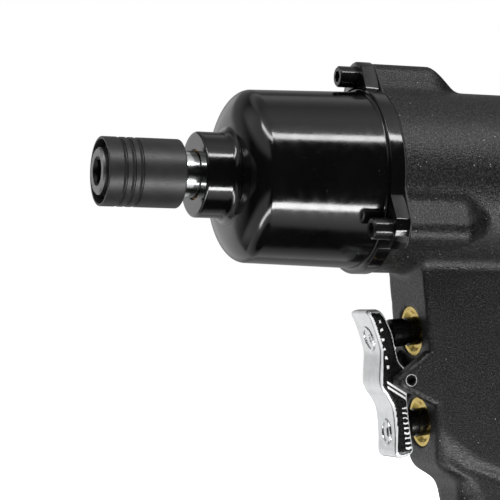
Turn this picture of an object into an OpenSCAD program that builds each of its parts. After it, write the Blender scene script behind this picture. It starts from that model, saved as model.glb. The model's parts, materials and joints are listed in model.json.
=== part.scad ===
// Pistol-grip air impact driver with a quarter-inch quick-change bit socket.
// Front of the tool is -X, up is +Z. The origin is on the output axis, in the
// plane of the quick-change sleeve's front rim. Millimetres.

/* [Output end] */
// Width across flats of the hexagon bit socket
bit_af = 6.45; // [6.35:0.05:6.5]
// Depth of the bit socket
bit_depth = 26; // [20:1:30]
// Radius of the anvil's round shaft
anvil_r = 6.5; // [6.2:0.1:6.8]
// How far the anvil stands proud of the sleeve's rim
anvil_proud = 0.8; // [0.5:0.1:1.5]
// Outer radius of the quick-change sleeve
sleeve_r = 9.55; // [9.3:0.05:10]
// Length of the quick-change sleeve
sleeve_len = 22.2; // [21:0.2:23]
// Radius of the retaining balls
ball_r = 2; // [1.8:0.1:2]

/* [Hammer case] */
// Radius of the nose boss
nose_r = 11.9; // [11.5:0.1:12.5]
// Front plane of the nose boss
nose_x = 26.9; // [26:0.1:28]
// Front face of the case's dome
dome_x = 35.7; // [35:0.1:36]
// How far the dome's rounded shoulder runs back along the axis
shoulder_len = 6.9; // [6:0.1:7.4]
// How far the dome's rounded shoulder reaches in from the case's side
shoulder_in = 11.6; // [10:0.2:11.6]
// Case radius just behind the shoulder
case_front_r = 24.1; // [23.5:0.1:24.5]
// Case radius at the flange
case_rear_r = 24.95; // [24.6:0.05:25.5]
// Flange radius
flange_r = 26.5; // [26.2:0.1:27.2]
// Front face of the flange
flange_x = 74.7; // [74:0.1:75]
// Flange thickness
flange_t = 4.3; // [4:0.1:4.6]
// Radius of the circle that the case bolts lie on
bolt_circle_r = 29.15; // [28.8:0.05:29.5]

/* [Motor housing] */
// Radius of the motor housing
body_r = 26; // [25.5:0.1:26.5]
// Rear end of the motor housing
body_end_x = 146; // [144:1:150]
// Height of the bolt bosses above the tool's axis
boss_h = 33.2; // [33:0.1:34]

/* [Handle] */
// Lean of the handle from the vertical, in degrees
lean = 6.3; // [5:0.1:8]
// Half of the handle's width
grip_half_w = 13; // [12.5:0.1:13.5]
// Depth of the handle at the trigger, front to back
block_depth = 43; // [41:1:46]
// How far the grip's front steps back below the trigger
grip_step = 9.2; // [8:0.2:11]
// Distance from the trigger pivot's level to the handle's end
grip_len = 84; // [80:1:90]

/* [Trigger and valves] */
// Distance from the pivot to the handle's front face
pivot_out = 6.8; // [6.4:0.1:7]
// Half of the trigger's width
trigger_half_w = 7; // [6.6:0.1:7.1]
// Distance of each valve's axis from the pivot's level
valve_offset = 13; // [12.6:0.1:13.4]
// Radius of the valve plungers
plunger_r = 4; // [3.8:0.05:4]

/* [Hidden] */

$fn = 64;
hull_fn = 32;
eps = 0.01;
run_gap = 0.06;     // radial clearance of a running fit
slip_gap = 0.03;    // radial clearance of a located part

// Case and motor stations along the axis
flange_end_x = flange_x + flange_t;
gasket_t = 0.5;
body_x = flange_end_x + gasket_t;
case_bore_r = 21.3;
bush_r = 8.1;
bush_len = 10;
plate_x = 80;
plate_t = 10;
liner_x = plate_x + plate_t;
liner_len = 34;
rear_plate_x = liner_x + liner_len;
rear_plate_t = 9.8;
motor_bore_r = 20.9;
motor_fit_r = 20.7;
liner_offset = 1.8;
liner_bore_r = 16;
rotor_r = 14;
vane_count = 5;
vane_t = 2;
vane_depth = 8;
journal_r = 4;
bearing_r = 11;
bearing_t = 7;
dowel_r = 1.25;
dowel_y = 19;

// Hammer mechanism
cage_r = 20.3;
cage_x = 42;
cage_end_x = 70.5;
cage_plate_t = 3.2;
cage_hub_end_x = 77;
hammer_pin_r = 2.4;
hammer_pin_out = 16.2;
dog_len = 9.8;
dog_gap = 0.3;
drive_af = 6.8;
drive_gap = 0.06;

// Fasteners
bolt_r = 2;
bolt_head_r = 3;
bolt_head_len = 4.4;
lock_washer_t = 0.9;
bolt_grip = 19;

// Chuck
sleeve_bore_r = 8.7;
land_x = 9.5;
land_end_x = 14;
relief_r = 7.7;
ball_x = 12.2;
ring_x = 2.2;
ring_t = 0.8;
washer_t = 0.7;
groove_x = 4.1;
groove_pitch = 2.35;
groove_w = 1.15;
groove_depth = 0.35;

// Valves, in the handle's own frame
recess = 0.3;
bush_flange_r = 7;
bush_flange_t = 2;
bush_body_r = 5.9;
bush_end = 17;
spring_end = 27;
seal_at = 8;
seal_wire_r = 0.62;
tail_at = 14;
upper_tip = -8.05;
lower_tip = -5.4;
pin_r = 1.7;
cheek_in = 7.5;

// Grip and inlet, in the handle's own frame
grip_r = 13;
grip_top = -26;
foot_r = 16;
foot_h = 8;
inlet_at = 26;
inlet_bore_r = 4.8;
inlet_thread_r = 5.72;
inlet_thread_len = 12;
bushing_r = 8.2;
bushing_top = -68;
bushing_hex_af = 19;
bushing_out = 9;
ring_r = 13.5;
ring_thick = 2.4;
chamber_h = 5;
screen_r = 6.3;
screen_t = 0.8;

pivot_x = 87.7;
pivot_z = -56.1;

// Turns a child that was drawn along +Z so that it runs along +X from x
module along_x(x) {
    translate([x, 0, 0])
        rotate([0, 90, 0])
            children();
}

// Places children in the handle's frame: x is 0 on the front face and grows
// rearwards, z runs up the handle, and z = 0 is level with the trigger's pivot.
module handle_frame() {
    translate([pivot_x, 0, pivot_z])
        rotate([0, -lean, 0])
            translate([pivot_out, 0, 0])
                children();
}

// Repeats children at the three case bolts: one on top, two below
module at_bolts() {
    for (turn = [0, 120, 240])
        rotate([turn, 0, 0])
            translate([0, 0, bolt_circle_r])
                children();
}

// Outline of one bolt lug in the Y-Z plane, drawn with its root at the origin
module lug_outline(top) {
    corner_r = 2.6;
    top_half_w = 2.3;
    root_half_w = 10.4;
    root_h = 20;
    hull() {
        for (side = [-1, 1])
            translate([side * top_half_w, top - corner_r])
                circle(r = corner_r, $fn = hull_fn);
        translate([-root_half_w, root_h])
            square([2 * root_half_w, 3.5]);
    }
}

// Disc with three lugs, extruded along +X from x. The sketch's X is the tool's Y.
module lugged_plate(x, length, disc_r, lug_top) {
    translate([x, 0, 0])
        rotate([90, 0, 90])
            linear_extrude(height = length)
                union() {
                    circle(r = disc_r, $fn = 96);
                    for (turn = [0, 120, 240])
                        rotate(turn)
                            lug_outline(lug_top);
                }
}

// Helix of round wire along +X, as short straight links
module coil(x0, x1, mean_r, wire_r, turns) {
    steps = 10;
    count = turns * steps;
    function at(i) = [
        x0 + wire_r + (x1 - x0 - 2 * wire_r) * i / count,
        mean_r * cos(360 * i / steps),
        mean_r * sin(360 * i / steps)
    ];
    // Ring of the wire's section at step i, square to the mean helix radius
    function ring(i) = [for (k = [0:5])
        at(i) + wire_r * (cos(60 * k) * [1, 0, 0]
            + sin(60 * k) * [0, cos(360 * i / steps), sin(360 * i / steps)])];
    points = [for (i = [0:count]) each ring(i)];
    sides = [for (i = [0:count - 1], k = [0:5])
        [6 * i + k, 6 * i + (k + 1) % 6, 6 * i + 6 + (k + 1) % 6, 6 * i + 6 + k]];
    polyhedron(points, concat(
        [for (f = sides) [f[0], f[1], f[2]]],
        [for (f = sides) [f[0], f[2], f[3]]],
        [[5, 4, 3, 2, 1, 0]],
        [[for (k = [0:5]) 6 * count + k]]));
}

// Hexagon bar along +X with flats facing up and down
module hex_bar(x, length, af) {
    along_x(x)
        rotate([0, 0, 30])
            cylinder(h = length, r = af / sqrt(3), $fn = 6);
}

module hammer_case() {
    neck = 0.5;
    edge = 1.2;
    step_x = 38.6;
    bore_x = 41.2;
    color("#101012")
        difference() {
            union() {
                along_x(0)
                    rotate_extrude($fn = 96)
                        polygon(concat(
                            [[bush_r - 1, nose_x], [nose_r - edge, nose_x]],
                            [for (a = [15:15:90])
                                [nose_r - edge + edge * sin(a), nose_x + edge - edge * cos(a)]],
                            [[nose_r, dome_x - neck]],
                            [for (a = [30:30:90])
                                [nose_r + neck - neck * cos(a), dome_x - neck + neck * sin(a)]],
                            [[case_front_r - shoulder_in, dome_x]],
                            [for (a = [9:9:90])
                                [case_front_r - shoulder_in + shoulder_in * sin(a),
                                    dome_x + shoulder_len - shoulder_len * cos(a)]],
                            [[case_rear_r, flange_x + 1], [case_rear_r, flange_end_x],
                                [bush_r - 1, flange_end_x]]));
                lugged_plate(flange_x, flange_t, flange_r, 33.5);
            }
            along_x(step_x)
                cylinder(h = 60, r = case_bore_r - 4);
            along_x(bore_x)
                cylinder(h = 60, r = case_bore_r);
            along_x(nose_x - 1)
                cylinder(h = 20, r = bush_r + slip_gap);
            at_bolts()
                along_x(flange_x - 1)
                    cylinder(h = flange_t + 2, r = bolt_r + 0.15, $fn = 32);
        }
}

module nose_bush() {
    color("#a9783f")
        along_x(nose_x + 0.6)
            difference() {
                cylinder(h = bush_len, r = bush_r);
                translate([0, 0, -1])
                    cylinder(h = bush_len + 2, r = anvil_r + run_gap);
            }
}

module case_gasket() {
    color("#2b2b2b")
        difference() {
            lugged_plate(flange_end_x, gasket_t, body_r - 0.2, boss_h - 0.3);
            along_x(flange_end_x - 1)
                cylinder(h = gasket_t + 2, r = case_bore_r);
            at_bolts()
                along_x(flange_end_x - 1)
                    cylinder(h = gasket_t + 2, r = bolt_r + 0.15, $fn = 32);
        }
}

module case_bolts() {
    key_af = 3;
    key_depth = 2.4;
    head_x = flange_x - lock_washer_t - bolt_head_len;
    color("#161616")
        at_bolts()
            difference() {
                union() {
                    along_x(head_x)
                        cylinder(h = 0.4, r1 = bolt_head_r - 0.4, r2 = bolt_head_r, $fn = 48);
                    along_x(head_x + 0.4)
                        cylinder(h = bolt_head_len - 0.4, r = bolt_head_r, $fn = 48);
                    along_x(head_x + bolt_head_len)
                        cylinder(h = bolt_grip, r = bolt_r, $fn = 32);
                }
                hex_bar(head_x - 1, key_depth + 1, key_af);
            }
}

module spring_washers() {
    slot = 0.7;
    color("#2c2c2e")
        at_bolts()
            difference() {
                along_x(flange_x - lock_washer_t)
                    cylinder(h = lock_washer_t, r = bolt_head_r + 0.15, $fn = 48);
                along_x(flange_x - lock_washer_t - 1)
                    cylinder(h = lock_washer_t + 2, r = bolt_r + 0.12, $fn = 32);
                translate([flange_x - lock_washer_t - 1, 0, -slot / 2])
                    cube([lock_washer_t + 2, 5, slot]);
            }
}

// Side outline of the handle: trigger block, cove under it, grip and foot
module handle_profile() {
    corner = 4;
    cove = 5;
    top = 44;
    base = -grip_len;
    polygon(concat(
        [[0, top], [0, grip_top + corner]],
        [for (a = [15:15:75])
            [corner - corner * cos(a), grip_top + corner - corner * sin(a)]],
        [for (a = [75:-15:0])
            [grip_step - cove + cove * sin(90 - a),
                grip_top - cove + cove * cos(90 - a)]],
        [[grip_step, base], [block_depth, base], [block_depth, top]]));
}

module handle_block() {
    edge = 2;
    translate([0, 0, grip_top - 5])
        linear_extrude(height = 70)
            hull() {
                for (y = [-1, 1]) {
                    translate([edge, y * (grip_half_w - edge)])
                        circle(r = edge, $fn = hull_fn);
                    translate([block_depth - 9, y * (grip_half_w - 9)])
                        circle(r = 9, $fn = hull_fn);
                }
            }
}

// Stadium section of the grip, run from z up by length
module grip_bar(z, length, r, x0, x1) {
    translate([0, 0, z])
        linear_extrude(height = length)
            hull() {
                translate([x0 + r, 0])
                    circle(r = r, $fn = hull_fn);
                translate([x1 - r, 0])
                    circle(r = r, $fn = hull_fn);
            }
}

// Clevis cheeks that carry the trigger's pin
module cheeks() {
    tip = 1.2;
    base_half = 7.5;
    reach = pivot_out + 3.9;
    slope = atan(base_half / reach);
    nose_at = -reach + tip / sin(slope);
    for (side = [-1, 1])
        translate([0, side * (cheek_in + grip_half_w) / 2, 0])
            rotate([90, 0, 0])
                linear_extrude(height = grip_half_w - cheek_in, center = true)
                    union() {
                        translate([nose_at, 0])
                            circle(r = tip, $fn = 24);
                        polygon([[nose_at - tip * sin(slope), tip * cos(slope)],
                            [0, base_half], [2, base_half], [2, -base_half], [0, -base_half],
                            [nose_at - tip * sin(slope), -tip * cos(slope)]]);
                    }
}

module motor_housing() {
    rear_round = 12;
    boss_end_x = 95.3;
    slope = 12.2;
    rise = boss_h - body_r;
    color("#1b1b1d")
        difference() {
            union() {
                along_x(0)
                    rotate_extrude($fn = 96)
                        polygon(concat(
                            [[0, body_x], [body_r, body_x],
                                [body_r, body_end_x - rear_round]],
                            [for (a = [15:15:90])
                                [body_r - rear_round + rear_round * cos(a),
                                    body_end_x - rear_round + rear_round * sin(a)]],
                            [[0, body_end_x]]));
                intersection() {
                    lugged_plate(body_x, boss_end_x + slope - body_x, 20, boss_h);
                    along_x(0)
                        rotate_extrude($fn = 96)
                            polygon(concat(
                                [[0, body_x], [boss_h + 1, body_x], [boss_h + 1, boss_end_x - 2]],
                                [for (i = [0:10])
                                    [body_r - 0.5 + (rise + 0.5) * (1 + cos(18 * i)) / 2,
                                        boss_end_x + slope * i / 10]],
                                [[0, boss_end_x + slope]]));
                }
                handle_frame()
                    intersection() {
                        union() {
                            handle_block();
                            grip_bar(-grip_len, 60, grip_r, grip_step - 1, block_depth);
                        }
                        rotate([90, 0, 0])
                            linear_extrude(height = 60, center = true)
                                handle_profile();
                    }
                handle_frame()
                    cheeks();
                handle_frame()
                    grip_bar(-grip_len, foot_h, foot_r, inlet_at - foot_r - 2, inlet_at + foot_r + 2);
            }
            housing_bores();
        }
}

// Everything that is bored out of the housing casting
module housing_bores() {
    along_x(body_x - 1)
        cylinder(h = rear_plate_x + rear_plate_t + 1 - body_x, r = motor_bore_r, $fn = 96);
    at_bolts()
        along_x(body_x - 1)
            cylinder(h = 16.5, r = bolt_r + 0.05, $fn = 32);
    handle_frame() {
        for (side = [-1, 1])
            translate([0, 0, side * valve_offset]) {
                along_x(-1)
                    cylinder(h = 1 + recess + bush_flange_t, r = bush_flange_r + slip_gap);
                along_x(0)
                    cylinder(h = bush_end, r = bush_body_r + slip_gap);
                along_x(bush_end - 1)
                    cylinder(h = spring_end - bush_end + 1, r = 4.6);
            }
        // trigger pin, right across both cheeks
        translate([-pivot_out, 20, 0])
            rotate([90, 0, 0])
                cylinder(h = 40, r = pin_r + slip_gap, $fn = 48);
        // air supply from the foot to the valves
        translate([inlet_at - 4, 0, -70])
            cylinder(h = 70 + valve_offset + 3, r = 5.3);
        // exhaust from the motor to the foot
        translate([inlet_at + 11.5, 0, -79])
            cylinder(h = 79 + 34, r = 2.6);
        // seat of the inlet bushing, exhaust chamber and ring
        translate([inlet_at, 0, -grip_len - 1])
            cylinder(h = grip_len + bushing_top + 1, r = bushing_r + slip_gap);
        translate([inlet_at, 0, -grip_len - 1])
            cylinder(h = 1 + chamber_h, r = ring_r - 1);
        translate([inlet_at, 0, -grip_len - 1])
            cylinder(h = 1 + ring_thick, r = ring_r + slip_gap);
    }
    // feed from the valves up to the liner
    handle_frame()
        translate([14, 0, valve_offset])
            cylinder(h = 32, r = 3);
}

module anvil() {
    chamfer = 0.5;
    collar_x = 39.2;
    collar_r = 9.5;
    core_r = 7;
    jaw_w = 6;
    jaw_r = 10.5;
    pilot_x = cage_end_x - cage_plate_t;
    color("#b9bcc0")
        difference() {
            union() {
                along_x(-anvil_proud)
                    cylinder(h = chamfer, r1 = anvil_r - chamfer, r2 = anvil_r);
                along_x(-anvil_proud + chamfer)
                    cylinder(h = collar_x + anvil_proud, r = anvil_r);
                along_x(collar_x)
                    cylinder(h = 2, r = collar_r);
                along_x(collar_x + 1)
                    cylinder(h = pilot_x - collar_x - 1.4, r = core_r);
                along_x(pilot_x - 1)
                    cylinder(h = 3, r = 4);
                translate([cage_x + cage_plate_t + 0.8, -jaw_w / 2, 0])
                    cube([dog_len - 1, jaw_w, jaw_r - 0.5]);
                translate([cage_x + cage_plate_t + dog_len + 1.4, -jaw_w / 2, -jaw_r + 0.5])
                    cube([dog_len - 1, jaw_w, jaw_r - 0.5]);
            }
            hex_bar(-anvil_proud - 1, bit_depth + 1, bit_af);
            along_x(-anvil_proud - eps)
                cylinder(h = 1.1, r1 = bit_af / 2 + 0.95, r2 = bit_af / 2 - 0.15);
            along_x(ring_x - 0.1)
                difference() {
                    cylinder(h = ring_t + 0.2, r = anvil_r + 1);
                    translate([0, 0, -1])
                        cylinder(h = ring_t + 3, r = anvil_r - 0.6);
                }
            for (turn = [0, 180])
                rotate([turn, 0, 0])
                    translate([ball_x, 0, 3.3])
                        cylinder(h = 5, r = ball_r + 0.05, $fn = 48);
            for (turn = [0, 180])
                rotate([turn, 0, 0])
                    translate([ball_x, 0, 2.2])
                        cylinder(h = 1.1, r1 = 1.2, r2 = 1.63, $fn = 48);
        }
}

module retaining_balls() {
    color("#c9ccd0")
        for (turn = [0, 180])
            rotate([turn, 0, 0])
                translate([ball_x, 0, anvil_r - ball_r])
                    sphere(r = ball_r, $fn = 32);
}

module quick_change_sleeve() {
    rim = 0.5;
    color("#222224")
        along_x(0)
            rotate_extrude($fn = 96)
                polygon(concat(
                    [[sleeve_bore_r, 0.3], [sleeve_bore_r + 0.35, 0],
                        [sleeve_r - 0.25, 0], [sleeve_r, 0.25]],
                    [for (i = [0:2], k = [0:3])
                        [sleeve_r - (k == 1 || k == 2 ? groove_depth : 0),
                            groove_x + groove_pitch * i + groove_w * [0, 0.45, 0.9, 1][k]]],
                    [[sleeve_r, sleeve_len - rim], [sleeve_r - rim, sleeve_len],
                        [relief_r, sleeve_len], [relief_r, land_end_x + 0.8],
                        [anvil_r + run_gap, land_end_x], [anvil_r + run_gap, land_x],
                        [sleeve_bore_r, land_x]]));
}

module sleeve_spring() {
    spring_mean_r = 7.6;
    color("#8d9096")
        coil(ring_x + ring_t + washer_t + 0.15, land_x - 0.1, spring_mean_r, 0.3, 3);
}

module sleeve_washer() {
    color("#77797d")
        along_x(ring_x + ring_t + 0.05)
            difference() {
                cylinder(h = washer_t, r = sleeve_bore_r - 0.3);
                translate([0, 0, -1])
                    cylinder(h = washer_t + 2, r = anvil_r + 0.05);
            }
}

module sleeve_snap_ring() {
    gap = 3;
    color("#55575a")
        difference() {
            along_x(ring_x)
                cylinder(h = ring_t, r = anvil_r + 0.9);
            along_x(ring_x - 1)
                cylinder(h = ring_t + 2, r = anvil_r - 0.55);
            translate([ring_x - 1, -gap / 2, 0])
                cube([ring_t + 2, gap, 10]);
        }
}

module hammer_cage() {
    pillar_in = 15.2;
    pillar_half = 7;
    color("#6d7074")
        difference() {
            union() {
                along_x(cage_x)
                    cylinder(h = cage_plate_t, r = cage_r);
                along_x(cage_end_x - cage_plate_t)
                    cylinder(h = cage_plate_t, r = cage_r);
                along_x(cage_end_x - 1)
                    cylinder(h = cage_hub_end_x - cage_end_x + 1, r = 9);
                intersection() {
                    along_x(cage_x + 1)
                        cylinder(h = cage_end_x - cage_x - 2, r = cage_r - eps);
                    for (side = [-1, 1])
                        translate([cage_x, side > 0 ? pillar_in : -pillar_in - 10, -pillar_half])
                            cube([cage_end_x - cage_x, 10, 2 * pillar_half]);
                }
            }
            along_x(cage_x - 1)
                cylinder(h = cage_plate_t + 2, r = 10.8);
            along_x(cage_end_x - cage_plate_t - 1)
                cylinder(h = 3.2, r = 4 + run_gap);
            hex_bar(cage_end_x + 0.2, 10, drive_af + 2 * drive_gap);
            for (side = [-1, 1])
                translate([0, 0, side * hammer_pin_out])
                    along_x(cage_x - 1)
                        cylinder(h = cage_end_x - cage_x + 2, r = hammer_pin_r + slip_gap, $fn = 48);
        }
}

// Ring-shaped hammer that swings on one pin and strikes the anvil's jaw
module hammer_dog(x, turn) {
    side = 14.8;
    bore = 11.2;
    outer = 19.7;
    color("#54575b")
        rotate([turn, 0, 0])
            difference() {
                union() {
                    intersection() {
                        along_x(x)
                            cylinder(h = dog_len, r = outer);
                        translate([x - 1, -side, -outer - 1])
                            cube([dog_len + 2, 2 * side, 2 * outer + 2]);
                        difference() {
                            translate([x, -20, -20])
                                cube([dog_len, 40, 40]);
                            along_x(x - 1)
                                cylinder(h = dog_len + 2, r = bore);
                        }
                    }
                    translate([x + 0.4, 3.5, 7.8])
                        cube([dog_len - 0.8, 4, 3.6]);
                }
                for (end = [-1, 1])
                    translate([0, 0, end * hammer_pin_out])
                        along_x(x - 1)
                            cylinder(h = dog_len + 2, r = hammer_pin_r + 0.1, $fn = 48);
            }
}

module front_hammer_dog() {
    hammer_dog(cage_x + cage_plate_t + dog_gap, 0);
}

module rear_hammer_dog() {
    hammer_dog(cage_x + cage_plate_t + dog_len + 2 * dog_gap + 0.2, 180);
}

module hammer_pins() {
    color("#a5a8ac")
        for (side = [-1, 1])
            translate([0, 0, side * hammer_pin_out])
                along_x(cage_x + 0.2)
                    cylinder(h = cage_end_x - cage_x - 0.4, r = hammer_pin_r, $fn = 48);
}

// Flat motor plate with a bearing pocket that opens towards pocket_x
module end_plate(x, thick, pocket_x, pocket_len) {
    difference() {
        along_x(x)
            cylinder(h = thick, r = motor_fit_r);
        along_x(pocket_x)
            cylinder(h = pocket_len, r = bearing_r + slip_gap);
        along_x(x - 1)
            cylinder(h = thick + 2, r = 6);
        translate([0, dowel_y, 0])
            along_x(x - 1)
                cylinder(h = thick + 2, r = dowel_r + slip_gap, $fn = 32);
    }
}

module front_end_plate() {
    color("#8f9296")
        end_plate(plate_x, plate_t, plate_x - 1, bearing_t + 1.2);
}

module rear_end_plate() {
    color("#8f9296")
        end_plate(rear_plate_x, rear_plate_t, rear_plate_x + 2.6, rear_plate_t);
}

// Deep-groove ball bearing: two rings and seven balls
module ball_bearing(x) {
    inner_r = 5.8;
    outer_in_r = 9.1;
    race_r = 7.45;
    ball = 1.9;
    color("#b4b7bb")
        union() {
            along_x(x)
                difference() {
                    cylinder(h = bearing_t, r = bearing_r);
                    translate([0, 0, -1])
                        cylinder(h = bearing_t + 2, r = outer_in_r);
                    translate([0, 0, bearing_t / 2])
                        rotate_extrude($fn = 64)
                            translate([race_r, 0])
                                circle(r = ball + 0.05, $fn = 24);
                }
            along_x(x)
                difference() {
                    cylinder(h = bearing_t, r = inner_r);
                    translate([0, 0, -1])
                        cylinder(h = bearing_t + 2, r = journal_r + slip_gap);
                    translate([0, 0, bearing_t / 2])
                        rotate_extrude($fn = 64)
                            translate([race_r, 0])
                                circle(r = ball + 0.05, $fn = 24);
                }
            for (i = [0:6])
                rotate([i * 360 / 7, 0, 0])
                    translate([x + bearing_t / 2, race_r, 0])
                        sphere(r = ball, $fn = 24);
        }
}

module front_bearing() {
    ball_bearing(plate_x + 0.1);
}

module rear_bearing() {
    ball_bearing(rear_plate_x + 2.65);
}

module cylinder_liner() {
    port_count = 5;
    color("#9a9da1")
        difference() {
            along_x(liner_x)
                cylinder(h = liner_len, r = motor_fit_r);
            translate([0, 0, liner_offset])
                along_x(liner_x - 1)
                    cylinder(h = liner_len + 2, r = liner_bore_r);
            for (i = [0:port_count - 1])
                translate([liner_x + 5 + 6 * i, 0, 0])
                    rotate([0, 180, 0])
                        cylinder(h = 30, r = 1.6, $fn = 24);
            translate([0, dowel_y, 0])
                along_x(liner_x - 1)
                    cylinder(h = liner_len + 2, r = dowel_r + slip_gap, $fn = 32);
        }
}

module liner_dowel() {
    color("#c0c3c7")
        translate([0, dowel_y, 0])
            along_x(plate_x + 3)
                cylinder(h = 3.5 + liner_len + plate_t, r = dowel_r, $fn = 32);
}

module rotor() {
    end_gap = 0.15;
    color("#83868a")
        difference() {
            union() {
                along_x(liner_x + end_gap)
                    cylinder(h = liner_len - 2 * end_gap, r = rotor_r);
                along_x(cage_hub_end_x + 1)
                    cylinder(h = rear_plate_x + rear_plate_t - cage_hub_end_x - 1.5, r = journal_r);
                along_x(plate_x + bearing_t + 0.3)
                    cylinder(h = 4, r = 5);
                along_x(rear_plate_x - 1)
                    cylinder(h = 3.5, r = 5);
                hex_bar(cage_end_x + 0.5, cage_hub_end_x + 1.5 - cage_end_x, drive_af);
            }
            for (i = [0:vane_count - 1])
                rotate([360 / vane_count * i, 0, 0])
                    translate([liner_x - 1, -vane_t / 2 - 0.1, rotor_r - vane_depth - 0.3])
                        cube([liner_len + 2, vane_t + 0.2, vane_depth + 2]);
        }
}

module rotor_vanes() {
    color("#7b4a26")
        intersection() {
            along_x(liner_x + 0.3)
                cylinder(h = liner_len - 0.6, r = rotor_r);
            for (i = [0:vane_count - 1])
                rotate([360 / vane_count * i, 0, 0])
                    translate([liner_x, -vane_t / 2, rotor_r - vane_depth])
                        cube([liner_len, vane_t, vane_depth + 2]);
        }
}

// Side outline of the rocker, in the handle's frame
module rocker_outline() {
    hub_r = 4.2;
    union() {
        polygon([
            [-14.2, 20.6], [-14.95, 20.0], [-13.8, 17.2], [-12.7, 12.4], [-12.2, 8.6],
            [-12.5, 5.2], [-13.0, 2.0], [-13.1, -0.8], [-12.4, -3.0], [-10.5, -6.0],
            [-9.8, -8.2], [-9.75, -12.0], [-10.2, -19.4], [-9.6, -20.9], [-7.6, -21.2],
            [-6.0, -20.2], [-5.75, -12.0], [-5.75, -7.0], [-5.5, -3.0], [-5.5, 3.0],
            [-7.6, 6.6], [-8.2, 10.2], [-8.6, 14.0], [-11.2, 19.9], [-12.0, 20.6]]);
        translate([-pivot_out, 0])
            circle(r = hub_r);
    }
}

module rocker_trigger() {
    color("#c6c8cb")
        handle_frame()
            difference() {
                rotate([90, 0, 0])
                    linear_extrude(height = 2 * trigger_half_w, center = true)
                        rocker_outline();
                translate([-pivot_out, trigger_half_w + 1, 0])
                    rotate([90, 0, 0])
                        cylinder(h = 2 * trigger_half_w + 2, r = pin_r + run_gap, $fn = 48);
            }
}

module trigger_pin() {
    key_af = 2;
    inset = 0.5;
    color("#4a4b4d")
        handle_frame()
            difference() {
                translate([-pivot_out, grip_half_w - inset, 0])
                    rotate([90, 0, 0])
                        cylinder(h = 2 * (grip_half_w - inset), r = pin_r, $fn = 48);
                translate([-pivot_out, -grip_half_w + 2, 0])
                    rotate([90, 0, 0])
                        cylinder(h = 3, r = key_af / sqrt(3), $fn = 6);
            }
}

// Brass bush that guides one valve plunger
module valve_bush(side) {
    color("#b08d3c")
        handle_frame()
            translate([0, 0, side * valve_offset])
                difference() {
                    union() {
                        along_x(recess)
                            cylinder(h = bush_flange_t, r = bush_flange_r);
                        along_x(recess + 1)
                            cylinder(h = bush_end - recess - 1, r = bush_body_r);
                    }
                    along_x(-1)
                        cylinder(h = bush_end + 2, r = plunger_r + run_gap);
                    along_x(recess - eps)
                        cylinder(h = 1, r1 = bush_flange_r - 1, r2 = plunger_r + 0.9);
                }
}

module forward_valve_bush() {
    valve_bush(1);
}

module reverse_valve_bush() {
    valve_bush(-1);
}

// Push rod of one valve, from its domed tip to its spring spigot
module valve_plunger(side, tip) {
    dome_r = 6;
    dome_angle = asin(plunger_r / dome_r);
    neck_at = -2.6;
    color("#141414")
        handle_frame()
            translate([0, 0, side * valve_offset])
                along_x(0)
                    rotate_extrude($fn = 64)
                        polygon(concat(
                            [for (i = [0:6])
                                [dome_r * sin(i * dome_angle / 6),
                                    tip + dome_r - dome_r * cos(i * dome_angle / 6)]],
                            [[plunger_r, neck_at], [plunger_r - 0.45, neck_at + 0.2],
                                [plunger_r - 0.45, neck_at + 0.9], [plunger_r, neck_at + 1.1],
                                [plunger_r, seal_at - 0.9], [plunger_r - 1.2, seal_at - 0.9],
                                [plunger_r - 1.2, seal_at + 0.9], [plunger_r, seal_at + 0.9],
                                [plunger_r, tail_at], [2, tail_at], [2, tail_at + 3],
                                [0, tail_at + 3]]));
}

module forward_valve_plunger() {
    valve_plunger(1, upper_tip);
}

module reverse_valve_plunger() {
    valve_plunger(-1, lower_tip);
}

// Round-section ring in the plunger's groove
module valve_seal(side) {
    color("#0c0c0c")
        handle_frame()
            translate([0, 0, side * valve_offset])
                along_x(seal_at)
                    rotate_extrude($fn = 48)
                        translate([plunger_r - 1.2 + seal_wire_r, 0])
                            circle(r = seal_wire_r - 0.01, $fn = 20);
}

module forward_valve_seal() {
    valve_seal(1);
}

module reverse_valve_seal() {
    valve_seal(-1);
}

module valve_spring(side) {
    color("#9b9ea3")
        handle_frame()
            translate([0, 0, side * valve_offset])
                coil(tail_at + 0.1, spring_end - 0.2, 3.1, 0.35, 5);
}

module forward_valve_spring() {
    valve_spring(1);
}

module reverse_valve_spring() {
    valve_spring(-1);
}

module inlet_bushing() {
    base = -grip_len;
    mouth = base - bushing_out;
    color("#8a8d91")
        handle_frame()
            translate([inlet_at, 0, 0])
                difference() {
                    union() {
                        translate([0, 0, mouth])
                            cylinder(h = bushing_out - 0.1, r = bushing_hex_af / sqrt(3), $fn = 6);
                        translate([0, 0, base - 0.2])
                            cylinder(h = bushing_top - base - 0.9, r = bushing_r);
                    }
                    translate([0, 0, mouth - 1])
                        cylinder(h = inlet_thread_len + 1, r = inlet_thread_r);
                    translate([0, 0, mouth])
                        cylinder(h = 40, r = inlet_bore_r);
                    translate([0, 0, bushing_top - 2.2])
                        cylinder(h = 3, r = screen_r + slip_gap);
                }
}

module inlet_seal() {
    color("#0c0c0c")
        handle_frame()
            translate([inlet_at, 0, -grip_len + chamber_h - 1.3])
                difference() {
                    cylinder(h = 1.2, r = bushing_r + 1.1);
                    translate([0, 0, -1])
                        cylinder(h = 3, r = bushing_r + slip_gap);
                }
}

module inlet_screen() {
    hole_r = 0.55;
    color("#a9acb0")
        handle_frame()
            translate([inlet_at, 0, bushing_top - 2.1])
                difference() {
                    cylinder(h = screen_t, r = screen_r);
                    for (ring = [1:3], i = [0:6 * ring - 1])
                        rotate([0, 0, 360 / (6 * ring) * i])
                            translate([1.5 * ring, 0, -1])
                                cylinder(h = 3, r = hole_r, $fn = 16);
                }
}

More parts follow.
